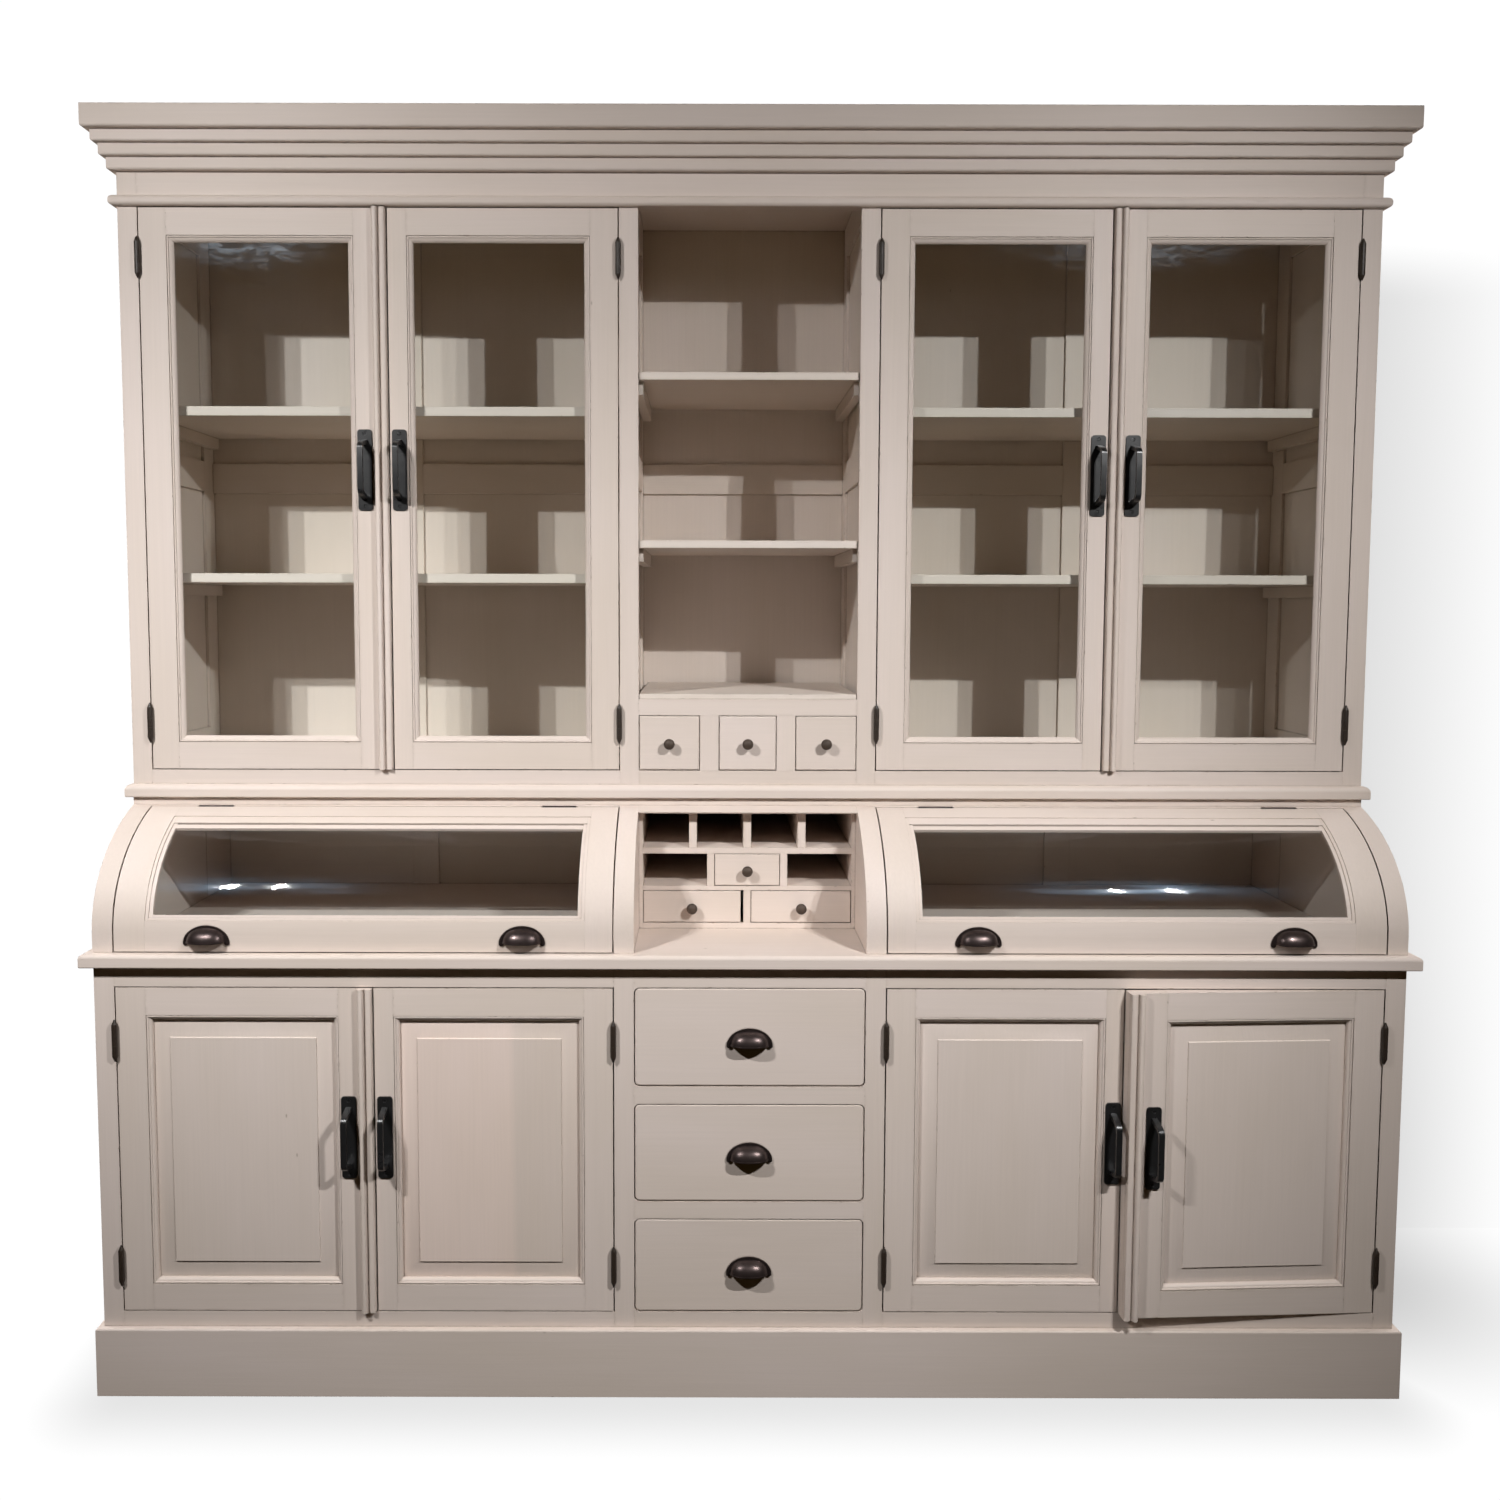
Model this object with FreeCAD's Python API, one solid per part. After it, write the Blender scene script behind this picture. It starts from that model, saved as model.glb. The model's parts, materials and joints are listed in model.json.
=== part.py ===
import FreeCAD, Part
import math
import os

V = FreeCAD.Vector

# ---------------------------------------------------------------- driving dimensions (mm)
Y0 = -297.0            # front face of the base, measured from the plinth's centre
HALF_W = 1200.0        # half width of the carcass
DEPTH = 606.0          # base face to wall side
BACK_T = 12.0          # back boards
FRAME_T = 22.0         # face frame boards and door frames
SIDE_T = 20.0          # carcass panels
PLINTH_H = 129.0
PLINTH_OUT = 12.0
BASE_TOP = 812.2       # underside of the worktop
WORKTOP_TOP = 837.0
WORKTOP_OUT = 20.0
WORKTOP_SIDE_OUT = 18.5
OUTER_JOINT = 1162.0   # joint between outer door and outer stile
MEET_JOINT = 690.0     # joint between the two doors of a pair
INNER_JOINT = 250.0    # joint between inner door and centre post
POST_IN = 212.5        # half width of the centre bay
GAP = 1.2              # half of a door joint
BASE_OPEN_LO, BASE_OPEN_HI = 158.5, 773.5
HUTCH_SET = 190.0      # hutch face behind base face
WAIST_LO, WAIST_HI = 1096.0, 1121.0
WAIST_OUT = 13.0
HUTCH_OPEN_LO, HUTCH_OPEN_HI = 1149.0, 2223.5
CASE_TOP = 2294.0
TOTAL_H = 2398.0
PROUD = 0.5            # doors and drawers stand this far in front of the face frame
DOOR_AJAR = 2.8        # degrees, lower right outer door
# curved middle section: quarter ellipse
CURVE_ZC, CURVE_B, CURVE_A, CURVE_OFF = 870.0, 232.0, 323.0, -2.0
CURVE_TOP_Z = 1081.0
LID_TOP_Z = 1078.5
LID_BOT_Z = 839.0
LID_T = 22.0

nodes = {}


def add(name, *solids):
    nodes.setdefault(name, []).extend(solids)


def box(x0, x1, y0, y1, z0, z1):
    xa, xb = min(x0, x1), max(x0, x1)
    return Part.makeBox(xb - xa, y1 - y0, z1 - z0, V(xa, y0 + Y0, z0))


def mirrored(s):
    return s.mirror(V(0, 0, 0), V(1, 0, 0))


def both(s):
    return [s, mirrored(s)]


def face_of(pts):
    return Part.Face(Part.makePolygon(pts + [pts[0]]))


def prism_x(pts, x0, x1):
    f = face_of([V(x0, y + Y0, z) for y, z in pts])
    return f.extrude(V(x1 - x0, 0, 0))


def prism_z(pts, z0, z1):
    f = face_of([V(x, y + Y0, z0) for x, y in pts])
    return f.extrude(V(0, 0, z1 - z0))


def skin(*sections):
    """Solid through matching point lists with flat sides."""
    faces = [face_of(list(sections[0])), face_of(list(sections[-1]))]
    n = len(sections[0])
    for a, b in zip(sections[:-1], sections[1:]):
        for i in range(n):
            j = (i + 1) % n
            faces.append(face_of([a[i], a[j], b[j], b[i]]))
    s = Part.Solid(Part.Shell(faces))
    if s.Volume < 0:
        s.reverse()
    return s


def ease(s, r, test):
    edges = [e for e in s.Edges if test(e.BoundBox)]
    return s.makeFillet(r, edges)


def along(bb, axis):
    size = (bb.XLength, bb.YLength, bb.ZLength)
    return all((size[i] > 1e-6) == (i == axis) for i in range(3))


def is_at(a, b):
    return abs(a - b) < 1e-4


# ---------------------------------------------------------------- plinth
back_in = DEPTH - BACK_T
fx = HALF_W + PLINTH_OUT
front = box(-fx, fx, -PLINTH_OUT, 10, 0, PLINTH_H)
front = ease(front, 3.5, lambda b: is_at(b.ZMin, PLINTH_H) and is_at(b.ZMax, PLINTH_H)
             and (is_at(b.YMax, Y0 - PLINTH_OUT) or b.XLength < 1e-6))
add("plinth", front)
side = box(fx - 22, fx, 10, DEPTH, 0, PLINTH_H)
side = ease(side, 3.5, lambda b: along(b, 1) and is_at(b.ZMin, PLINTH_H) and is_at(b.XMin, fx))
add("plinth", *both(side))
add("plinth", box(-(fx - 22), fx - 22, DEPTH - 20, DEPTH, 0, PLINTH_H))
add("plinth", *both(box(221, 243, 10, DEPTH - 20, 0, PLINTH_H)))
add("plinth", *both(box(690, 712, 10, DEPTH - 20, 0, PLINTH_H)))
add("plinth", box(-11, 11, 10, DEPTH - 20, 0, PLINTH_H))

# ---------------------------------------------------------------- base carcass
xs_in = HALF_W - SIDE_T
add("base_carcass", *both(box(xs_in, HALF_W, FRAME_T, back_in, PLINTH_H, BASE_TOP)))
add("base_carcass", box(-xs_in, xs_in, FRAME_T, back_in, PLINTH_H, PLINTH_H + 20))
add("base_carcass", *both(box(222, 242, FRAME_T, back_in, PLINTH_H + 20, BASE_TOP)))

# face frame of the base
stile_in = OUTER_JOINT + GAP
post_out = INNER_JOINT - GAP
add("base_face_frame", *both(box(stile_in, HALF_W, 0, FRAME_T, PLINTH_H, BASE_TOP)))
add("base_face_frame", *both(box(POST_IN, post_out, 0, FRAME_T, PLINTH_H, BASE_TOP)))
add("base_face_frame", *both(box(post_out, stile_in, 0, FRAME_T, BASE_OPEN_HI, BASE_TOP)))
add("base_face_frame", *both(box(post_out, stile_in, 0, FRAME_T, PLINTH_H, BASE_OPEN_LO)))
add("base_face_frame", box(-POST_IN, POST_IN, 0, FRAME_T, BASE_OPEN_HI, BASE_TOP))
add("base_face_frame", box(-POST_IN, POST_IN, 0, FRAME_T, PLINTH_H, BASE_OPEN_LO))
DRAWER_ROWS = ((588.0, 773.5), (370.0, 555.5), (158.5, 337.5))
add("base_face_frame", box(-POST_IN, POST_IN, 0, FRAME_T, 555.5, 588.0))
add("base_face_frame", box(-POST_IN, POST_IN, 0, FRAME_T, 337.5, 370.0))
# rounded corners of the three drawer openings
for lo, hi in DRAWER_ROWS:
    for zc, sz in ((lo, 1.0), (hi, -1.0)):
        z0, z1 = sorted((zc, zc + sz * 10.5))
        corner = box(POST_IN - 10.5, POST_IN, 0, FRAME_T, z0, z1)
        corner = corner.cut(Part.makeCylinder(10.5, FRAME_T + 2, V(POST_IN - 10.5, Y0 - 1, zc + sz * 10.5), V(0, 1, 0)))
        add("base_face_frame", *both(corner))

# shelf and cleats in each cupboard, runners of the large drawers
add("base_interior", *both(box(243, xs_in - 1, 90, back_in - 2, 452, 470)))
add("base_interior", *both(box(242, 262, 96, back_in - 6, 427, 452)))
add("base_interior", *both(box(xs_in - 20, xs_in, 96, back_in - 6, 427, 452)))
for lo, hi in DRAWER_ROWS:
    top = lo + 5.5
    bot = lo - 20 if lo > 200 else PLINTH_H + 20
    add("base_interior", *both(box(198, 222, FRAME_T, back_in - 4, bot, top)))



def nosing(s, x, y, z, r):
    """Round the front and side edges of a board at height z."""
    return ease(s, r, lambda b: is_at(b.ZMin, z) and is_at(b.ZMax, z) and (
        (along(b, 0) and is_at(b.YMin, y)) or (along(b, 1) and (is_at(b.XMin, x) or is_at(b.XMin, -x)))))


# worktop with a nose rounded above and nearly square below, on three sides
wx = HALF_W + WORKTOP_SIDE_OUT
top = box(-wx, wx, -WORKTOP_OUT, DEPTH, BASE_TOP, WORKTOP_TOP)
top = nosing(top, wx, Y0 - WORKTOP_OUT, WORKTOP_TOP, 7.5)
top = nosing(top, wx, Y0 - WORKTOP_OUT, BASE_TOP, 2.5)
add("worktop", top)


# ---------------------------------------------------------------- curved middle section
def curve_y(z):
    t = max(0.0, (z - CURVE_ZC) / CURVE_B)
    return CURVE_OFF + CURVE_A * (1 - math.sqrt(1 - t * t))


def curve_dir(z):
    """Unit tangent pointing up the curve and unit normal pointing inward, as (y, z)."""
    t = max(0.0, (z - CURVE_ZC) / CURVE_B)
    dy = CURVE_A / CURVE_B * t / math.sqrt(1 - t * t)
    n = math.hypot(dy, 1.0)
    return (dy / n, 1 / n), (1 / n, -dy / n)


def offset_pt(z, d):
    n = curve_dir(z)[1]
    return curve_y(z) + n[0] * d, z + n[1] * d


def steps(z0, z1):
    """Heights for a smooth run of the curve; closer where it bends over."""
    out = [z0]
    if z0 < CURVE_ZC < z1:
        out.append(CURVE_ZC)
    a0 = math.asin(max(0.0, min(1.0, (max(z0, CURVE_ZC) - CURVE_ZC) / CURVE_B)))
    a1 = math.asin((z1 - CURVE_ZC) / CURVE_B)
    n = max(2, int(math.ceil((a1 - a0) / math.radians(4.0))))
    for i in range(1, n):
        out.append(CURVE_ZC + CURVE_B * math.sin(a0 + (a1 - a0) * i / n))
    out.append(z1)
    return out


def spline(pts, x):
    if len(pts) == 2:
        return Part.makeLine(V(x, pts[0][0] + Y0, pts[0][1]), V(x, pts[1][0] + Y0, pts[1][1]))
    c = Part.BSplineCurve()
    c.interpolate([V(x, y + Y0, z) for y, z in pts])
    return c.toShape()


def curved_slab(x0, x1, z0, z1, d0, d1):
    """Board that follows the curve from height z0 to z1 (on the outer line), from depth d0 to d1."""
    zs = steps(z0, z1)
    outer = [offset_pt(z, d0) for z in zs]
    inner = [offset_pt(z, d1) for z in zs]
    straight = [i for i, z in enumerate(zs) if z <= CURVE_ZC]
    k = straight[-1] if straight else 0
    edges = []

    def run(pts):
        out = []
        if k > 0:
            out.append(spline([pts[0], pts[k]], x0))
        if k < len(pts) - 1:
            out.append(spline(pts[k:], x0))
        return out

    def line(p, q):
        return Part.makeLine(V(x0, p[0] + Y0, p[1]), V(x0, q[0] + Y0, q[1]))

    edges += run(outer)
    edges.append(line(outer[-1], inner[-1]))
    edges += run(inner)
    edges.append(line(inner[0], outer[0]))
    w = Part.Wire(Part.__sortEdges__(edges))
    return Part.Face(w).extrude(V(x1 - x0, 0, 0))


def end_panel(x0, x1, back):
    zs = steps(WORKTOP_TOP, CURVE_TOP_Z)
    pts = [(curve_y(z), z) for z in zs]
    k = zs.index(CURVE_ZC)
    e = [spline([pts[0], pts[k]], x0), spline(pts[k:], x0)]

    def line(p, q):
        return Part.makeLine(V(x0, p[0] + Y0, p[1]), V(x0, q[0] + Y0, q[1]))
    a, b = (back, CURVE_TOP_Z), (back, WORKTOP_TOP)
    e += [line(pts[-1], a), line(a, b), line(b, pts[0])]
    w = Part.Wire(Part.__sortEdges__(e))
    return Part.Face(w).extrude(V(x1 - x0, 0, 0))


add("curved_ends", *both(end_panel(stile_in, HALF_W, 452.0)))
add("curved_ends", *both(box(stile_in, HALF_W, 453.6, back_in, WORKTOP_TOP, CURVE_TOP_Z)))
add("curved_ends", *both(end_panel(POST_IN, post_out, back_in)))

# hinge rail: a full-length top board with a shaped rail under it in each bay
top_y = curve_y(CURVE_TOP_Z)
add("hinge_rail", box(-HALF_W, HALF_W, top_y, 300, CURVE_TOP_Z, WAIST_LO))
LID_GAP = 2.0
(tan_y, tan_z), (nor_y, nor_z) = curve_dir(LID_TOP_Z)
lid_a = (curve_y(LID_TOP_Z), LID_TOP_Z)
rail_a = (lid_a[0] + tan_y * LID_GAP, lid_a[1] + tan_z * LID_GAP)
rail_f = (rail_a[0] + nor_y * 24, rail_a[1] + nor_z * 24)
# hinge line of the lids
hinge_y = lid_a[0] + tan_y * LID_GAP / 2 + nor_y * 1.0
hinge_z = lid_a[1] + tan_z * LID_GAP / 2 + nor_z * 1.0
LID_HINGES = (367.0, 1036.0)
KNUCKLE_R, SLOT_R = 2.8, 3.1


def hinge_slot(x):
    return Part.makeCylinder(SLOT_R, 72, V(x - 36, hinge_y + Y0, hinge_z), V(1, 0, 0))


rail = prism_x([rail_a, (top_y, CURVE_TOP_Z), (245, CURVE_TOP_Z), (245, rail_f[1]), rail_f], post_out, stile_in)
for x in LID_HINGES:
    rail = rail.cut(hinge_slot(x))
add("hinge_rail", *both(rail))
za = 1071.5
add("hinge_rail", prism_x([(curve_y(za), za), (curve_y(1076), 1076), (curve_y(1079), 1079), (top_y, CURVE_TOP_Z), (240, CURVE_TOP_Z),
                           (240, 1069), (curve_y(za) + 1.5, 1069)], -POST_IN, POST_IN))

# ---------------------------------------------------------------- pigeonhole rack
RACK_Y = 185.0
rin = 204.5
rx = "pigeonhole_rack"
add(rx, *both(box(rin, POST_IN, RACK_Y, back_in, WORKTOP_TOP, 1069)))
add(rx, box(-rin, rin, RACK_Y, back_in, WORKTOP_TOP, 848.5))
add(rx, box(-rin, rin, RACK_Y, back_in, 913.5, 922))
add(rx, box(-rin, rin, RACK_Y, back_in, 986, 997.5))
add(rx, box(-POST_IN, POST_IN, 240, back_in, 1069, CURVE_TOP_Z))
for x in (-106.5, 0.0, 106.5):
    add(rx, box(x - 7.5, x + 7.5, RACK_Y + 2, back_in, 997.5, 1069))
add(rx, *both(box(64.5, 78.5, RACK_Y, back_in, 922, 986)))
add(rx, box(-7, 7, RACK_Y, back_in, 848.5, 913.5))

# ---------------------------------------------------------------- hutch
px = HALF_W + WAIST_OUT
waist = box(-px, px, HUTCH_SET - WAIST_OUT, DEPTH, WAIST_LO, WAIST_HI)
waist = nosing(waist, px, Y0 + HUTCH_SET - WAIST_OUT, WAIST_HI, 11.0)
waist = nosing(waist, px, Y0 + HUTCH_SET - WAIST_OUT, WAIST_LO, 2.0)
add("waist_board", waist)

hy0 = HUTCH_SET
hy1 = HUTCH_SET + FRAME_T
# frame-and-panel sides and partitions
for x0, x1 in ((xs_in, HALF_W), (222.0, 242.0)):
    hu = "hutch_uprights"
    add(hu, *both(box(x0, x1, hy1, hy1 + 55, WAIST_HI, CASE_TOP)))
    add(hu, *both(box(x0, x1, back_in - 55, back_in, WAIST_HI, CASE_TOP)))
    for z0, z1 in ((WAIST_HI, 1200.0), (1718.0, 1783.0), (2225.0, CASE_TOP)):
        add(hu, *both(box(x0, x1, hy1 + 55, back_in - 55, z0, z1)))
    for z0, z1 in ((1200.0, 1718.0), (1783.0, 2225.0)):
        add(hu, *both(box(x0 + 6, x1 - 6, hy1 + 55, back_in - 55, z0, z1)))

hf = "hutch_face_frame"
add(hf, *both(box(stile_in, HALF_W, hy0, hy1, WAIST_HI, CASE_TOP)))
add(hf, *both(box(POST_IN, post_out, hy0, hy1, WAIST_HI, HUTCH_OPEN_HI)))
add(hf, *both(box(post_out, stile_in, hy0, hy1, WAIST_HI, HUTCH_OPEN_LO)))
add(hf, box(-POST_IN, POST_IN, hy0, hy1, WAIST_HI, HUTCH_OPEN_LO))
add(hf, box(-POST_IN, POST_IN, hy0, hy1, 1257, 1289))
add(hf, *both(box(56.5, 93.0, hy0, hy1, HUTCH_OPEN_LO, 1257)))
add(hf, box(-stile_in, stile_in, hy0, hy1, HUTCH_OPEN_HI, CASE_TOP))

# shelves on cleats, bay floors, drawer deck and guides
hs = "hutch_shelves"
for z in (1837.0, 1514.0):
    add(hs, *both(box(243, xs_in - 1, 224, back_in - 10, z, z + 18)))
    add(hs, *both(box(242, 260, 240, back_in - 14, z - 24, z)))
    add(hs, *both(box(xs_in - 18, xs_in, 240, back_in - 14, z - 24, z)))
add(hs, *both(box(243, xs_in - 1, hy1, back_in, 1131, HUTCH_OPEN_LO)))
for z in (1903.0, 1582.0):
    add(hs, box(-211.5, 211.5, 197, back_in - 10, z, z + 14.5))
    add(hs, *both(box(204, 222, 216, back_in - 14, z - 26, z)))
add(hs, box(-212, 212, 193, back_in - 10, 1289, 1298.5))
add(hs, box(-221, 221, hy1, back_in, 1131, HUTCH_OPEN_LO))
add(hs, *both(box(70, 80, hy1, 560, HUTCH_OPEN_LO, 1257)))

# back boards of base, middle section and hutch, with the inner frame of the hutch back
bk = "back_boards"
for z0, z1 in ((PLINTH_H, BASE_TOP), (WORKTOP_TOP, WAIST_LO), (WAIST_HI, CASE_TOP)):
    add(bk, box(-232, 232, back_in, DEPTH, z0, z1))
    add(bk, *both(box(232, 716, back_in, DEPTH, z0, z1)))
    add(bk, *both(box(716, HALF_W, back_in, DEPTH, z0, z1)))
add(bk, *both(box(688, 746, back_in - 8, back_in, WORKTOP_TOP, CURVE_TOP_Z)))
add(bk, *both(box(712, 772, back_in - 8, back_in, HUTCH_OPEN_LO, CASE_TOP)))
add(bk, *both(box(242, 712, back_in - 8, back_in, 1718, 1783)))
add(bk, *both(box(772, xs_in, back_in - 8, back_in, 1718, 1783)))
add(bk, box(-222, 222, back_in - 8, back_in, 1718, 1783))

# cornice: roof board, bead, three stepped mouldings and fascia, each with side returns
co = "cornice"
add(co, box(-HALF_W, HALF_W, hy0, DEPTH, CASE_TOP, 2311))


def moulding(z0, z1, out, wide, r_low, r_up=0.0):
    x = HALF_W + out
    y = HUTCH_SET - out
    f = box(-x, x, y, y + wide, z0, z1)
    s = box(x - wide, x, y + wide, DEPTH, z0, z1)

    def low(b, z):
        return is_at(b.ZMin, z) and is_at(b.ZMax, z)
    f = ease(f, r_low, lambda b: low(b, z0) and ((along(b, 0) and is_at(b.YMin, Y0 + y)) or along(b, 1)))
    s = ease(s, r_low, lambda b: low(b, z0) and along(b, 1) and is_at(b.XMin, x))
    if r_up:
        f = ease(f, r_up, lambda b: low(b, z1) and ((along(b, 0) and is_at(b.YMin, Y0 + y)) or along(b, 1)))
        s = ease(s, r_up, lambda b: low(b, z1) and along(b, 1) and is_at(b.XMin, x))
    return [f] + both(s)


add(co, *moulding(2223.5, 2243.0, 12.5, 12.5, 7.0, 9.0))
add(co, *moulding(2287.5, 2311.0, 13.0, 13.0, 4.5))
add(co, *moulding(2311.0, 2333.5, 23.0, 60.0, 4.0))
add(co, *moulding(2333.5, 2355.5, 33.0, 60.0, 4.0))
add(co, *moulding(2355.5, TOTAL_H, 46.0, 70.0, 4.5, 2.0))


# ---------------------------------------------------------------- ironmongery shapes
def pull_handle(x, y, z):
    """Pull with a screwed back plate and an open bow standing forward of the plane y."""
    plate = Part.makeBox(27.6, 3, 154, V(x - 13.8, y - 3 + Y0, z - 77))
    plate = ease(plate, 5.5, lambda b: along(b, 1))
    # side view of the bow: (stand-off, height), outer then inner line of the upper half
    outer = [(2.5, 58.0), (27.0, 52.0), (33.5, 49.6), (38.5, 45.6), (41.5, 39.0)]
    inner = [(36.5, 36.0), (34.0, 40.6), (30.5, 43.2), (26.0, 44.8), (2.5, 49.6)]
    side = outer + [(o, -h) for o, h in reversed(outer)] + [(o, -h) for o, h in reversed(inner)] + inner
    bow = prism_x([(y - o, z + h) for o, h in side], x - 5.2, x + 5.2)
    s = plate.fuse(bow)
    for dz in (69.0, -69.0):
        s = s.cut(Part.makeCone(3.6, 2.2, 2.4, V(x, y - 3 + Y0, z + dz), V(0, 1, 0)))
    return s.removeSplitter()


def screw_heads(x, y, z):
    return [Part.makeCone(2.7, 2.15, 1.0, V(x, y - 1.6 + Y0, z + dz), V(0, 1, 0)) for dz in (69.0, -69.0)]


def cup_pull(x, y, z):
    """Half-round bin pull: flat rim with rounded ears and a hollow crown, open below."""
    ear = 4.6
    rim = []
    for k in range(29):
        a = math.pi * k / 28
        rim.append((42.2 * math.cos(a), ear + 32.6 * math.sin(a)))
    for k in range(1, 9):
        a = math.pi * (1 + k / 8)
        rim.append((-(42.2 - ear) + ear * math.cos(a), ear + ear * math.sin(a)))
    rim += [(-30.5, 7.0), (30.5, 7.0)]
    for k in range(8):
        a = math.pi * (1 + k / 8)
        rim.append(((42.2 - ear) + ear * math.cos(a), ear + ear * math.sin(a)))
    s = face_of([V(u, w, 0) for u, w in rim]).extrude(V(0, 0, 2.6))

    def swell(c):
        return (1 - abs(c) ** 2.45) ** (1 / 2.45)

    def dome(half, up, out, n, m):
        secs = []
        for i in range(n + 1):
            c = math.cos(math.pi * (0.045 + 0.91 * i / n))
            ring = [V(-half * c, 7.0, 0)]
            for k in range(m + 1):
                a = 0.5 * math.pi * k / m
                ring.append(V(-half * c, 7.0 + up * swell(c) * math.sin(a), out * swell(c) * math.cos(a)))
            secs.append(ring)
        return skin(*secs)
    shell = dome(35.0, 25.4, 23.6, 16, 8).cut(dome(32.6, 23.0, 21.2, 12, 6))
    # raised lip along the lower edge of the crown
    line = [math.cos(math.pi * (0.05 + 0.90 * i / 16)) for i in range(17)]
    lip = [V(-36.0 * c, 7.0, 24.8 * swell(c)) for c in line] + [V(-33.6 * c, 7.0, 22.2 * swell(c)) for c in reversed(line)]
    s = s.fuse(shell).fuse(face_of(lip).extrude(V(0, 1.8, 0))).removeSplitter()
    # local axes: x across, y up, z out of the face
    s.rotate(V(0, 0, 0), V(1, 0, 0), 90)
    s.translate(V(x, y + Y0, z))
    return s


def knob(x, y, z):
    """Turned knob: flange, waist and flattened ball."""
    pts = [V(0, 0, 0), V(7.2, 0, 0), V(7.2, 1.6, 0), V(4.6, 3.0, 0), V(4.3, 7.2, 0)]
    n = 14
    for k in range(1, n):
        a = math.radians(-66 + 156 * k / n)
        pts.append(V(10.6 * math.cos(a), 14.4 + 7.4 * math.sin(a), 0))
    pts.append(V(0, 21.8, 0))
    s = face_of(pts).revolve(V(0, 0, 0), V(0, 1, 0), 360)
    # head towards the front
    s.rotate(V(0, 0, 0), V(0, 0, 1), 180)
    s.translate(V(x, y + Y0, z))
    return s


HINGE_R, HINGE_PIN = 5.2, 2.5


def door_hinge(ax, ay, zc, door_side):
    """Butt hinge with finials; door_side is +1 if the door lies on the +X side of the joint."""
    d = door_side
    up = V(0, 0, 1)
    at = lambda z: V(ax, ay + Y0, z)
    fixed = Part.makeCylinder(HINGE_PIN, 58, at(zc - 29), up)
    for z0 in (zc - 29, zc + 9.2):
        fixed = fixed.fuse(Part.makeCylinder(HINGE_R, 19.8, at(z0), up))
    fixed = fixed.fuse(Part.makeCone(HINGE_R, 1.2, 10, at(zc + 29), up))
    fixed = fixed.fuse(Part.makeCone(1.2, HINGE_R, 10, at(zc - 39), up))
    y_face = ay + 6.1
    leaf = box(ax - d * 0.3, ax - d * GAP, y_face, y_face + 20, zc - 29, zc + 29)
    fixed = fixed.fuse(leaf)
    for z0 in (zc - 29, zc + 9.2):
        fixed = fixed.fuse(box(ax - d * 0.3, ax - d * GAP, ay + 3.0, y_face, z0, z0 + 19.8))
    moving = Part.makeCylinder(HINGE_R, 18, at(zc - 9), up)
    moving = moving.fuse(box(ax + d * 0.3, ax + d * GAP, ay + 3.0, y_face, zc - 9, zc + 9))
    moving = moving.fuse(box(ax + d * 0.3, ax + d * GAP, y_face, y_face + 20, zc - 29, zc + 29))
    moving = moving.cut(Part.makeCylinder(HINGE_PIN + 0.05, 20, at(zc - 10), up))
    return fixed.removeSplitter(), moving.removeSplitter()


# ---------------------------------------------------------------- doors
BEAD_A = ((0.0, 10.0), (0.0, 2.6), (0.7, 1.3), (1.9, 0.7), (3.2, 1.0), (4.2, 2.2), (4.2, 10.0))
BEAD_B = ((4.2, 10.0), (4.2, 3.2), (6.2, 3.7), (8.6, 5.0), (10.6, 7.0), (11.8, 9.0), (12.0, 10.0))
BEAD_C = ((4.2, 12.0), (4.2, 3.2), (6.0, 3.7), (7.8, 4.9), (9.0, 6.8), (9.6, 9.0), (9.8, 12.0))


def mitred(x0, x1, z0, z1, yf, prof):
    """Four mitred strips lining an opening; prof holds (inward, depth) points."""
    def p(x, d, z):
        return V(x, yf + d + Y0, z)
    out = []
    out.append(skin([p(x0 + u, d, z0 + u) for u, d in prof], [p(x0 + u, d, z1 - u) for u, d in prof]))
    out.append(skin([p(x1 - u, d, z0 + u) for u, d in prof], [p(x1 - u, d, z1 - u) for u, d in prof]))
    out.append(skin([p(x0 + u, d, z0 + u) for u, d in prof], [p(x1 - u, d, z0 + u) for u, d in prof]))
    out.append(skin([p(x0 + u, d, z1 - u) for u, d in prof], [p(x1 - u, d, z1 - u) for u, d in prof]))
    return out


def reeded_strip(x_meet, x_field, width, yf, z0, z1):
    """Meeting strip: low step at the free edge, groove, tall bead."""
    s = 1.0 if x_field > x_meet else -1.0
    pts = ((0.3, 0.0), (0.6, 6.0), (1.6, 8.6), (3.6, 9.8), (6.4, 10.2), (9.2, 9.8), (11.2, 8.4), (11.9, 5.8), (13.6, 5.4),
           (14.3, 8.6), (15.4, 11.6), (17.2, 13.4), (19.8, 14.0), (22.4, 13.4), (24.4, 11.6), (25.7, 8.6), (26.2, 5.0), (26.2, 0.0))
    poly = [(x_meet + s * u * width / 26.2, yf - h) for u, h in pts]
    return prism_z(poly, z0, z1)


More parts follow.
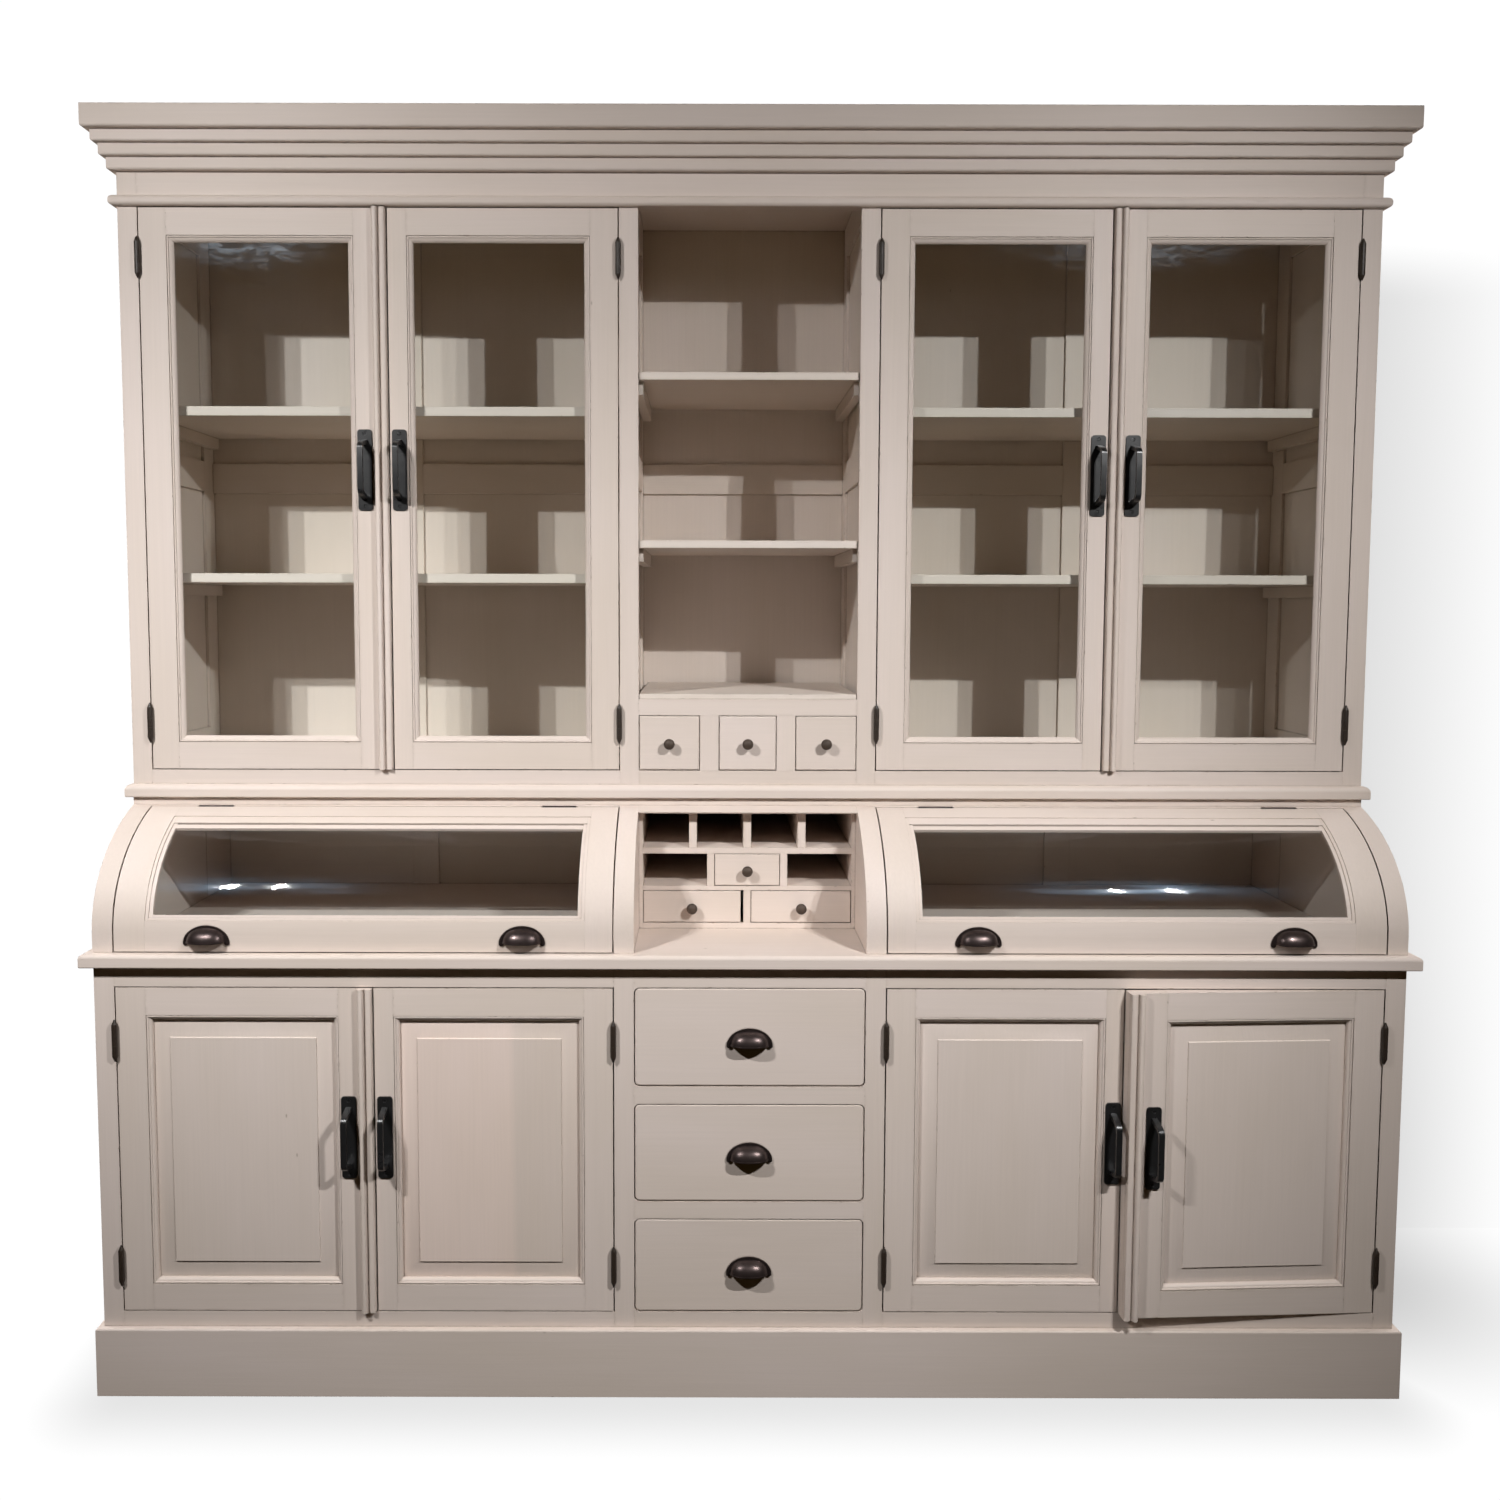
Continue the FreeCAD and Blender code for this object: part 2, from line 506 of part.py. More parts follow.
def door(name, xa, xb, za, zb, yf, opening, hinge_at, hinge_z_list, strip, handle, glazed, ajar=0.0, steep=False):
    """xa..xb, za..zb door edges; yf front face; opening = inner edges of the frame (x0, x1, z0, z1)."""
    x0, x1, z0, z1 = opening
    wood = [box(xa, x0, yf, yf + FRAME_T, za, zb), box(x1, xb, yf, yf + FRAME_T, za, zb),
            box(x0, x1, yf, yf + FRAME_T, za, z0), box(x0, x1, yf, yf + FRAME_T, z1, zb)]
    wood += mitred(x0, x1, z0, z1, yf, BEAD_A) + mitred(x0, x1, z0, z1, yf, BEAD_B if glazed else BEAD_C)
    if strip:
        wood.append(reeded_strip(strip[0], strip[1], strip[2], yf, za, zb))
    glass = None
    if glazed:
        glass = box(x0 + 3, x1 - 3, yf + 10, yf + 14, z0 + 3, z1 - 3)
    else:
        # raised and fielded panel
        def ring(u, d):
            return [V(x0 + u, yf + d + Y0, z0 + u), V(x1 - u, yf + d + Y0, z0 + u),
                    V(x1 - u, yf + d + Y0, z1 - u), V(x0 + u, yf + d + Y0, z1 - u)]
        wood.append(skin(ring(2, 18), ring(2, 12.0), ring(12.5, 12.0), ring(41.5, 3.2 if steep else 5.6), ring(42.7, 1.2 if steep else 3.4)))
    iron = [pull_handle(handle[0], yf, handle[1])] + screw_heads(handle[0], yf, handle[1])
    side = 1.0 if hinge_at < 0.5 * (xa + xb) else -1.0
    ay = yf - 5.6
    for zc in hinge_z_list:
        f, m = door_hinge(hinge_at, ay, zc, side)
        add("hinge_fixed_leaves", f)
        iron.append(m)
    if ajar:
        c = V(hinge_at, ay + Y0, 0)
        for s in wood + iron:
            s.rotate(c, V(0, 0, 1), ajar)
    add(name + "_wood" if not glazed else name + "_frame", *wood)
    if glass is not None:
        add(name + "_glass", glass)
    add(name + "_iron", *iron)


UP_Z = (1151.0, 2221.5)
LO_Z = (160.5, 771.5)
UP_OPEN = (1203.5, 2170.5)
LO_OPEN = (210.5, 718.5)
UP_HINGE = (1241.0, 2128.0)
LO_HINGE = (248.0, 674.0)
for sign, tag in ((-1.0, "left"), (1.0, "right")):
    for level, zz, op, hz, yf, hzc in (("upper", UP_Z, UP_OPEN, UP_HINGE, HUTCH_SET - PROUD, 1729.0 if sign < 0 else 1721.0),
                                       ("lower", LO_Z, LO_OPEN, LO_HINGE, -PROUD, 492.0 if sign < 0 else 483.0)):
        ajar = DOOR_AJAR if (level == "lower" and sign > 0) else 0.0
        meet, width, pull = (686.5, 27.0, 669.5) if ajar else (MEET_JOINT, 26.2, 670.5)
        outer_a, outer_b = OUTER_JOINT - GAP, meet + GAP
        inner_a, inner_b = meet - GAP, INNER_JOINT + GAP
        top = op[1] if level == "upper" else op[1] + (2.0 if ajar else 1.0)
        xo = sorted((sign * outer_a, sign * outer_b))
        oo = sorted((sign * (1109.0 if level == "upper" else 1106.5), sign * (758.0 if ajar else 754.0)))
        door("%s_%s_outer_door" % (level, tag), xo[0], xo[1], zz[0], zz[1], yf, (oo[0], oo[1], op[0], top),
             sign * OUTER_JOINT, hz, (sign * outer_b, sign * 1100.0, width), (sign * 737.0, hzc), level == "upper", ajar)
        xi = sorted((sign * inner_a, sign * inner_b))
        oi = sorted((sign * 653.0, sign * 304.0))
        door("%s_%s_inner_door" % (level, tag), xi[0], xi[1], zz[0], zz[1], yf, (oi[0], oi[1], op[0], op[1]),
             sign * INNER_JOINT, hz, None, (sign * pull, hzc), level == "upper", steep=bool(ajar))

# ---------------------------------------------------------------- curved lids
LID_X = (INNER_JOINT + 1.5, OUTER_JOINT - 1.5)
LID_STILE_IN, LID_STILE_OUT = 302.0, 1104.0
LID_RAIL_TOP = 1065.0
LID_RAIL_BOT = 896.0


def lid(sign, tag):
    name = "%s_lid" % tag
    fr = [curved_slab(LID_X[0], LID_STILE_IN, LID_BOT_Z, LID_TOP_Z, 0, LID_T),
          curved_slab(LID_STILE_OUT, LID_X[1], LID_BOT_Z, LID_TOP_Z, 0, LID_T)]
    toprail = curved_slab(LID_STILE_IN, LID_STILE_OUT, LID_RAIL_TOP, LID_TOP_Z, 0, LID_T)
    cut = [hinge_slot(x) for x in LID_HINGES]
    for c in cut:
        toprail = toprail.cut(c)
    fr.append(toprail)
    fr.append(curved_slab(LID_STILE_IN, LID_STILE_OUT, LID_BOT_Z, LID_RAIL_BOT, 0, LID_T))
    # glazing beads: a flat band and an inner bead
    b1, b2 = 6.0, 13.0
    t1, t2 = 9.0, 16.5
    u1, u2 = 4.5, 10.0
    x0, x1, z0, z1 = LID_STILE_IN, LID_STILE_OUT, LID_RAIL_BOT, LID_RAIL_TOP
    fr.append(curved_slab(x0, x0 + b1, z0, z1, 1.6, 9.0))
    fr.append(curved_slab(x1 - b1, x1, z0, z1, 1.6, 9.0))
    fr.append(curved_slab(x0 + b1, x1 - b1, z0, z0 + u1, 1.6, 9.0))
    fr.append(curved_slab(x0 + b1, x1 - b1, z1 - t1, z1, 1.6, 9.0))
    fr.append(curved_slab(x0 + b1, x0 + b2, z0 + u1, z1 - t1, 3.6, 9.0))
    fr.append(curved_slab(x1 - b2, x1 - b1, z0 + u1, z1 - t1, 3.6, 9.0))
    fr.append(curved_slab(x0 + b2, x1 - b2, z0 + u1, z0 + u2, 3.6, 9.0))
    fr.append(curved_slab(x0 + b2, x1 - b2, z1 - t2, z1 - t1 - 2.0, 3.0, 9.0))
    gl = curved_slab(LID_STILE_IN + 3, LID_STILE_OUT - 3, LID_RAIL_BOT + 3, LID_RAIL_TOP - 1.5, 9.1, 13.1)
    iron = []
    for x in (416.0, 991.0):
        iron.append(cup_pull(x, curve_y(851.0), 851.0))
    for x in LID_HINGES:
        ax = lambda dx: V(x + dx, hinge_y + Y0, hinge_z)
        ex = V(1, 0, 0)
        fixed = Part.makeCylinder(1.5, 66, ax(-33), ex)
        for dx in (-33.0, 11.2):
            fixed = fixed.fuse(Part.makeCylinder(KNUCKLE_R, 21.8, ax(dx), ex))

        def leaf(side, x0, x1, n0, n1):
            # side +1: against the rail, -1: against the lid
            q = []
            for s, n in ((0.2, n0), (1.0, n0), (1.0, n1), (0.2, n1)):
                q.append((hinge_y + tan_y * side * s + nor_y * n, hinge_z + tan_z * side * s + nor_z * n))
            return prism_x(q, x0, x1)
        fixed = fixed.fuse(leaf(1.0, x - 33, x + 33, 3.6, 18.0))
        for dx in (-33.0, 11.2):
            fixed = fixed.fuse(leaf(1.0, x + dx, x + dx + 21.8, 1.8, 3.6))
        moving = Part.makeCylinder(KNUCKLE_R, 22.0, ax(-11), ex)
        moving = moving.fuse(leaf(-1.0, x - 11, x + 11, 1.8, 3.6))
        moving = moving.fuse(leaf(-1.0, x - 33, x + 33, 3.6, 18.0))
        moving = moving.cut(Part.makeCylinder(1.55, 24, ax(-12), ex))
        f = fixed.removeSplitter()
        m = moving.removeSplitter()
        add("hinge_fixed_leaves", f if sign > 0 else mirrored(f))
        iron.append(m)
    if sign < 0:
        fr = [mirrored(s) for s in fr]
        gl = mirrored(gl)
        iron = [mirrored(s) for s in iron]
    add(name + "_frame", *fr)
    add(name + "_glass", gl)
    add(name + "_iron", *iron)


lid(-1.0, "left")
lid(1.0, "right")


# ---------------------------------------------------------------- drawers
def drawer(name, x0, x1, z0, z1, yf, front_t, side_t, depth, box_gap, low, high, round_r, corner_r=0.0):
    """Front x0..x1, z0..z1 at plane yf; box set in by box_gap, from z0+low to z1-high."""
    f = box(x0, x1, yf, yf + front_t, z0, z1)
    if corner_r:
        f = ease(f, corner_r, lambda b: along(b, 1))
    f = ease(f, round_r, lambda b: is_at(b.YMin, yf + Y0) and is_at(b.YMax, yf + Y0))
    yb = yf + front_t
    a, b = x0 + box_gap, x1 - box_gap
    lo, hi = z0 + low, z1 - high
    parts = [f, box(a, a + side_t, yb, yf + depth, lo, hi), box(b - side_t, b, yb, yf + depth, lo, hi),
             box(a + side_t, b - side_t, yf + depth - side_t, yf + depth, lo, hi),
             box(a + side_t, b - side_t, yb, yf + depth - side_t, lo + 3, lo + 9)]
    add(name + "_box", *parts)


for i, (lo, hi) in enumerate(DRAWER_ROWS):
    nm = ("top_drawer", "middle_drawer", "bottom_drawer")[i]
    drawer(nm, -POST_IN + 1.5, POST_IN - 1.5, lo + 1.5, hi - 1.5, 0.8, 19.5, 11, 520, 2.5, 5.0, 16.0, 3.0, 9.0)
    pz = ((661.0, 446.0, 228.5)[i])
    add(nm + "_pull", cup_pull(0.0, -PROUD, pz))

for tag, a, b in (("left", -POST_IN, -93.0), ("centre", -56.5, 56.5), ("right", 93.0, POST_IN)):
    nm = "small_drawer_" + tag
    drawer(nm, a + 1.3, b - 1.3, 1150.3, 1255.7, HUTCH_SET - PROUD, 18, 8, 350, 2.0, 0.0, 12.0, 2.5)
    add(nm + "_knob", knob(0.5 * (a + b), HUTCH_SET - PROUD, 1202.0))

for tag, a, b, z0, z1 in (("centre", -64.5, 64.5, 922.0, 986.0), ("left", -rin, -11.5, 848.5, 913.5), ("right", 7.0, rin, 848.5, 913.5)):
    nm = "desk_drawer_" + tag
    drawer(nm, a + 1.0, b - 1.0, z0 + 1.0, z1 - 1.2, RACK_Y + 1.0, 14, 7, 280, 1.0, 0.0, 8.0, 1.5)
    add(nm + "_knob", knob(0.5 * (a + b), RACK_Y + 1.0, 0.5 * (z0 + z1) - (1.0 if tag == "centre" else 2.0)))

# ---------------------------------------------------------------- write one file per node
os.makedirs("parts", exist_ok=True)
for name in sorted(nodes):
    solids = nodes[name]
    for s in solids:
        if not s.isValid():
            print("invalid solid in", name)
        if len(s.Solids) != 1:
            print("not one solid in", name, len(s.Solids))
    shape = solids[0] if len(solids) == 1 else Part.makeCompound(solids)
    shape.exportStep("parts/%s.step" % name)
print(len(nodes), "nodes")
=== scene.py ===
import bpy
import bmesh
import json
import math
import random
import numpy as np
from mathutils import Matrix, Vector


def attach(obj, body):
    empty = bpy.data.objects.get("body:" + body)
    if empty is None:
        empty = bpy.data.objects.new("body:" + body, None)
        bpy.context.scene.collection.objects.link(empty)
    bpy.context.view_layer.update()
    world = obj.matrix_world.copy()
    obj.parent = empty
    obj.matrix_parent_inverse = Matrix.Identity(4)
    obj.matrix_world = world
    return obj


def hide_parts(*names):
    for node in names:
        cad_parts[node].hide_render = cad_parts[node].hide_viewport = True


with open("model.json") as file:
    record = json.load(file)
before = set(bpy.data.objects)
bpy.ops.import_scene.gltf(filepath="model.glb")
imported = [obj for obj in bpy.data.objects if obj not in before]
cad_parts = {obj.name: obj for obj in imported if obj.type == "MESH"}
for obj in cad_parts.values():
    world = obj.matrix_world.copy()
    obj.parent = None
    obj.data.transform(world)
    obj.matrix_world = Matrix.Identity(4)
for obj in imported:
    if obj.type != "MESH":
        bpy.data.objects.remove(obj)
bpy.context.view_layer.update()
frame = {"nodes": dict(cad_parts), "record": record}
NODES = frame["nodes"]
BODY_OF = {n: b for b, ns in frame["record"]["behaviour"]["bodies"].items() for n in ns}
scene = bpy.context.scene
rng = random.Random(7)


# ------------------------------------------------------------------ node helpers
def new_material(name):
    m = bpy.data.materials.new(name)
    m.use_nodes = True
    nt = m.node_tree
    nt.nodes.clear()
    out = nt.nodes.new("ShaderNodeOutputMaterial")
    p = nt.nodes.new("ShaderNodeBsdfPrincipled")
    nt.links.new(p.outputs["BSDF"], out.inputs["Surface"])
    return m, nt, p


def math_node(nt, op, a, b=None, c=None, clamp=False):
    n = nt.nodes.new("ShaderNodeMath")
    n.operation = op
    n.use_clamp = clamp
    for i, v in enumerate((a, b, c)):
        if v is None:
            continue
        if isinstance(v, (int, float)):
            n.inputs[i].default_value = v
        else:
            nt.links.new(v, n.inputs[i])
    return n.outputs[0]


def attribute(nt, name):
    n = nt.nodes.new("ShaderNodeAttribute")
    n.attribute_name = name
    return n


def scaled(nt, vec, s):
    n = nt.nodes.new("ShaderNodeVectorMath")
    n.operation = "MULTIPLY"
    nt.links.new(vec, n.inputs[0])
    n.inputs[1].default_value = s
    return n.outputs[0]


def noise(nt, vec, scale, detail=3.0, rough=0.55, distort=0.0):
    n = nt.nodes.new("ShaderNodeTexNoise")
    n.inputs["Scale"].default_value = scale
    n.inputs["Detail"].default_value = detail
    n.inputs["Roughness"].default_value = rough
    n.inputs["Distortion"].default_value = distort
    nt.links.new(vec, n.inputs["Vector"])
    return n.outputs["Fac"]


def remap(nt, v, a, b, c, d, smooth=False):
    n = nt.nodes.new("ShaderNodeMapRange")
    n.interpolation_type = "SMOOTHSTEP" if smooth else "LINEAR"
    n.clamp = True
    nt.links.new(v, n.inputs["Value"])
    n.inputs["From Min"].default_value = a
    n.inputs["From Max"].default_value = b
    n.inputs["To Min"].default_value = c
    n.inputs["To Max"].default_value = d
    return n.outputs["Result"]


def mix_colour(nt, fac, a, b, mode="MIX"):
    n = nt.nodes.new("ShaderNodeMix")
    n.data_type = "RGBA"
    n.blend_type = mode
    n.clamp_factor = True
    for sock, v in ((n.inputs[0], fac), (n.inputs[6], a), (n.inputs[7], b)):
        if isinstance(v, (int, float)):
            sock.default_value = v
        elif isinstance(v, tuple):
            sock.default_value = (*v, 1.0)
        else:
            nt.links.new(v, sock)
    return n.outputs[2]


# ------------------------------------------------------------------ materials
PAINT = (0.729, 0.625, 0.548)
# painted light: the inside boards take a copy of the cream paint, tinted to the colour of the light and shade inside
# the bays
PAINT_TINTED_FOR_INSIDE_LIGHT = (0.752, 0.664, 0.584)


def make_paint(name, base=PAINT, wear_and_shade=1.0, top=None, shelf_shade=None):
    m, nt, p = new_material(name)
    g = attribute(nt, "gco").outputs["Vector"]          # along, across, through the board, in metres
    e = attribute(nt, "edge").outputs["Fac"]            # 1 on rounded arrises
    d = attribute(nt, "bdim").outputs["Vector"]         # board size in the same order
    r = attribute(nt, "brnd").outputs["Fac"]            # one number per board
    off = nt.nodes.new("ShaderNodeVectorMath")
    off.operation = "ADD"
    nt.links.new(g, off.inputs[0])
    rv = nt.nodes.new("ShaderNodeCombineXYZ")
    for i, k in enumerate((17.0, 31.0, 23.0)):
        nt.links.new(math_node(nt, "MULTIPLY", r, k), rv.inputs[i])
    nt.links.new(rv.outputs[0], off.inputs[1])
    v = off.outputs[0]
    # distance to the nearest arris of a square-edged board
    sg = nt.nodes.new("ShaderNodeSeparateXYZ"); nt.links.new(g, sg.inputs[0])
    sd = nt.nodes.new("ShaderNodeSeparateXYZ"); nt.links.new(d, sd.inputs[0])
    dist = []
    for i in range(3):
        back = math_node(nt, "SUBTRACT", sd.outputs[i], sg.outputs[i])
        dist.append(math_node(nt, "MINIMUM", sg.outputs[i], back))
    lo = math_node(nt, "MINIMUM", dist[0], dist[1])
    hi = math_node(nt, "MAXIMUM", dist[0], dist[1])
    arris = math_node(nt, "MAXIMUM", lo, math_node(nt, "MINIMUM", hi, dist[2]))
    # colour: broad tone, brush strokes along the board, tone of each board
    broad = noise(nt, scaled(nt, v, (1.6, 5.0, 5.0)), 1.0, 3.0)
    brush = noise(nt, scaled(nt, v, (5.0, 260.0, 260.0)), 1.0, 2.0)
    grain = noise(nt, scaled(nt, v, (2.2, 75.0, 75.0)), 1.0, 4.0, 0.6, 0.4)
    tone = math_node(nt, "ADD", remap(nt, broad, 0.25, 0.75, -0.05, 0.05), remap(nt, brush, 0.2, 0.8, -0.022, 0.022))
    tone = math_node(nt, "ADD", tone, math_node(nt, "MULTIPLY_ADD", r, 0.026, -0.013))
    tone = math_node(nt, "ADD", tone, 1.0)
    tint = mix_colour(nt, remap(nt, broad, 0.3, 0.7, 0.0, 1.0), base, (base[0] * 0.985, base[1] * 0.99, base[2] * 1.03))
    c = mix_colour(nt, 1.0, tint, (0.5, 0.5, 0.5), "MULTIPLY")
    hsv = nt.nodes.new("ShaderNodeHueSaturation")
    nt.links.new(tint, hsv.inputs["Color"])
    nt.links.new(tone, hsv.inputs["Value"])
    col = hsv.outputs["Color"]
    nt.nodes.remove(c.node)
    tc = nt.nodes.new("ShaderNodeTexCoord")
    at = nt.nodes.new("ShaderNodeSeparateXYZ")
    nt.links.new(tc.outputs["Object"], at.inputs[0])
    # a panel glued up from two boards that took the paint differently
    two = mix_colour(nt, remap(nt, math_node(nt, "ADD", at.outputs[0], math_node(nt, "MULTIPLY", broad, 0.010)), -0.441, -0.421, 0.0, 1.0, True),
                     (1.11, 1.065, 1.05), (0.995, 0.983, 0.972))
    col = mix_colour(nt, attribute(nt, "kind").outputs["Fac"], col, mix_colour(nt, 1.0, col, two, "MULTIPLY"))
    if top or shelf_shade:
        way = nt.nodes.new("ShaderNodeSeparateXYZ")
        nt.links.new(nt.nodes.new("ShaderNodeNewGeometry").outputs["Normal"], way.inputs[0])
    if top:
        # painted shade: darker tone at the top of the front-facing inner face, under the top of the case
        top_shade_mask = math_node(nt, "MULTIPLY", remap(nt, at.outputs[2], 2.10, 2.22, 0.0, 1.0, True), remap(nt, way.outputs[1], -0.9, -0.6, 1.0, 0.0))
        col = mix_colour(nt, top_shade_mask, col, mix_colour(nt, 1.0, col, top, "MULTIPLY"))
    if shelf_shade:
        # painted shade: darker, warmer tone on top of the upper shelves, to deepen the shade in the bays
        shelf_shade_mask = math_node(nt, "MULTIPLY", remap(nt, way.outputs[2], 0.6, 0.9, 0.0, 1.0, True), remap(nt, at.outputs[2], 1.35, 1.40, 0.0, 1.0))
        col = mix_colour(nt, shelf_shade_mask, col, mix_colour(nt, 1.0, col, shelf_shade, "MULTIPLY"))
    # grime close to the arrises, in patches
    patch = noise(nt, scaled(nt, v, (22.0, 60.0, 60.0)), 1.0, 3.0)
    near = math_node(nt, "MULTIPLY", remap(nt, arris, 0.0, 0.006, 1.0, 0.0, True), remap(nt, patch, 0.35, 0.75, 0.0, 1.0, True))
    col = mix_colour(nt, math_node(nt, "MULTIPLY", near, 0.16 * wear_and_shade), col, (0.33, 0.25, 0.19))
    # brown dirt in grooves, corners and gaps, together with painted shade: the occlusion mask darkens creases where
    # shade falls
    ao = nt.nodes.new("ShaderNodeAmbientOcclusion")
    ao.samples = 4
    ao.inputs["Distance"].default_value = 0.006
    dirt_and_shade = math_node(nt, "MULTIPLY", remap(nt, ao.outputs["AO"], 0.30, 0.72, 1.0, 0.0, True), remap(nt, patch, 0.25, 0.7, 0.55, 1.0))
    col = mix_colour(nt, math_node(nt, "MULTIPLY", dirt_and_shade, 0.72 * wear_and_shade), col, (0.14, 0.088, 0.052))
    # rubbed arrises: paint gone in dashes, wood and old undercoat showing
    chip = noise(nt, scaled(nt, v, (60.0, 140.0, 140.0)), 1.0, 4.0, 0.65)
    worn = math_node(nt, "MAXIMUM", e, remap(nt, arris, 0.0004, 0.0018, 1.0, 0.0, True))
    rub = math_node(nt, "MULTIPLY", worn, remap(nt, chip, 0.60, 0.68, 0.0, 1.0, True))
    col = mix_colour(nt, math_node(nt, "MULTIPLY", rub, 0.6 * wear_and_shade), col, (0.20, 0.135, 0.09))
    # scattered small dents and specks
    vor = nt.nodes.new("ShaderNodeTexVoronoi")
    vor.feature = "F1"
    vor.inputs["Scale"].default_value = 1.0
    nt.links.new(scaled(nt, v, (5.0, 12.0, 12.0)), vor.inputs["Vector"])
    speck = remap(nt, vor.outputs["Distance"], 0.0, 0.03, 1.0, 0.0, True)
    col = mix_colour(nt, math_node(nt, "MULTIPLY", speck, 0.6 * wear_and_shade), col, (0.22, 0.16, 0.11))
    nt.links.new(col, p.inputs["Base Color"])
    rough = math_node(nt, "ADD", remap(nt, grain, 0.2, 0.8, 0.46, 0.6), math_node(nt, "MULTIPLY", rub, 0.2))
    nt.links.new(rough, p.inputs["Roughness"])
    p.inputs["Specular IOR Level"].default_value = 0.35
    # relief: grain, brush marks, chipped edges
    h = math_node(nt, "ADD", math_node(nt, "MULTIPLY", grain, 0.6), math_node(nt, "MULTIPLY", brush, 0.35))
    h = math_node(nt, "SUBTRACT", h, math_node(nt, "MULTIPLY", rub, 1.2))
    h = math_node(nt, "SUBTRACT", h, math_node(nt, "MULTIPLY", speck, 1.2))
    b = nt.nodes.new("ShaderNodeBump")
    b.inputs["Strength"].default_value = 0.35
    b.inputs["Distance"].default_value = 0.0006
    nt.links.new(h, b.inputs["Height"])
    nt.links.new(b.outputs["Normal"], p.inputs["Normal"])
    return m


def make_metal(name, base, dark, rough, metallic, scale, spec=0.5, hinge=None):
    m, nt, p = new_material(name)
    tc = nt.nodes.new("ShaderNodeTexCoord")
    e = attribute(nt, "edge").outputs["Fac"]
    n1 = noise(nt, tc.outputs["Object"], scale, 4.0)
    n2 = noise(nt, tc.outputs["Object"], scale * 6.0, 3.0)
    col = mix_colour(nt, remap(nt, n1, 0.3, 0.7, 0.0, 1.0), base, dark)
    col = mix_colour(nt, math_node(nt, "MULTIPLY", e, remap(nt, n2, 0.45, 0.6, 0.0, 0.6)), col, tuple(min(1.0, c * 2.2 + 0.012) for c in base))
    rg = remap(nt, n1, 0.25, 0.75, rough - 0.05, rough + 0.08)
    if hinge:
        k = attribute(nt, "kind").outputs["Fac"]
        col = mix_colour(nt, k, col, mix_colour(nt, remap(nt, n2, 0.35, 0.65, 0.0, 1.0), hinge, tuple(c * 0.5 for c in hinge)))
        rg = math_node(nt, "ADD", rg, math_node(nt, "MULTIPLY", k, 0.16))
    nt.links.new(col, p.inputs["Base Color"])
    p.inputs["Metallic"].default_value = metallic
    p.inputs["Specular IOR Level"].default_value = spec
    nt.links.new(rg, p.inputs["Roughness"])
    b = nt.nodes.new("ShaderNodeBump")
    b.inputs["Strength"].default_value = 0.25
    b.inputs["Distance"].default_value = 0.0004
    nt.links.new(math_node(nt, "ADD", n1, math_node(nt, "MULTIPLY", n2, 0.4)), b.inputs["Height"])
    nt.links.new(b.outputs["Normal"], p.inputs["Normal"])
    return m


def make_glass(name, mirror, haze, low=None, tint=(0.955, 0.975, 0.965), streaks=(22.0, 22.0, 70.0), film_colour=(0.72, 0.86, 1.0)):
    """Thin clear pane: see-through, a mirror share that grows at a slant, and a smeared film of dust."""
    m = bpy.data.materials.new(name)
    m.use_nodes = True
    nt = m.node_tree
    nt.nodes.clear()
    out = nt.nodes.new("ShaderNodeOutputMaterial")
    clear = nt.nodes.new("ShaderNodeBsdfTransparent")
    clear.inputs["Color"].default_value = (*tint, 1.0)
    film = nt.nodes.new("ShaderNodeBsdfGlossy")
    film.inputs["Color"].default_value = (*film_colour, 1.0)
    film.inputs["Roughness"].default_value = 0.24
    geo = nt.nodes.new("ShaderNodeNewGeometry")
    front = math_node(nt, "SUBTRACT", 1.0, geo.outputs["Backfacing"])
    tc = nt.nodes.new("ShaderNodeTexCoord")
    streak = noise(nt, scaled(nt, tc.outputs["Object"], streaks), 1.0, 6.0, 0.62, 1.1)
    cloud = noise(nt, tc.outputs["Object"], 4.3, 2.0)
    share = math_node(nt, "MULTIPLY", remap(nt, streak, 0.40, 0.68, 0.12, 1.0, True), remap(nt, cloud, 0.35, 0.65, 0.1, 1.0))
    if low:
        sep = nt.nodes.new("ShaderNodeSeparateXYZ")
        nt.links.new(tc.outputs["Object"], sep.inputs[0])
        share = math_node(nt, "MULTIPLY", share, remap(nt, sep.outputs[2], low[0], low[1], 0.04, 1.0, True))
    share = math_node(nt, "MULTIPLY", share, front)
    dirty = nt.nodes.new("ShaderNodeMixShader")
    nt.links.new(math_node(nt, "MULTIPLY", share, haze), dirty.inputs[0])
    nt.links.new(clear.outputs[0], dirty.inputs[1])
    nt.links.new(film.outputs[0], dirty.inputs[2])
    last = dirty
    if mirror:
        shine = nt.nodes.new("ShaderNodeBsdfGlossy")
        shine.inputs["Color"].default_value = (0.95, 0.97, 1.0, 1.0)
        shine.inputs["Roughness"].default_value = mirror
        fr = nt.nodes.new("ShaderNodeFresnel")
        fr.inputs["IOR"].default_value = 1.45
        last = nt.nodes.new("ShaderNodeMixShader")
        nt.links.new(math_node(nt, "MULTIPLY", fr.outputs[0], front), last.inputs[0])
        nt.links.new(dirty.outputs[0], last.inputs[1])
        nt.links.new(shine.outputs[0], last.inputs[2])
    nt.links.new(last.outputs[0], out.inputs["Surface"])
    return m


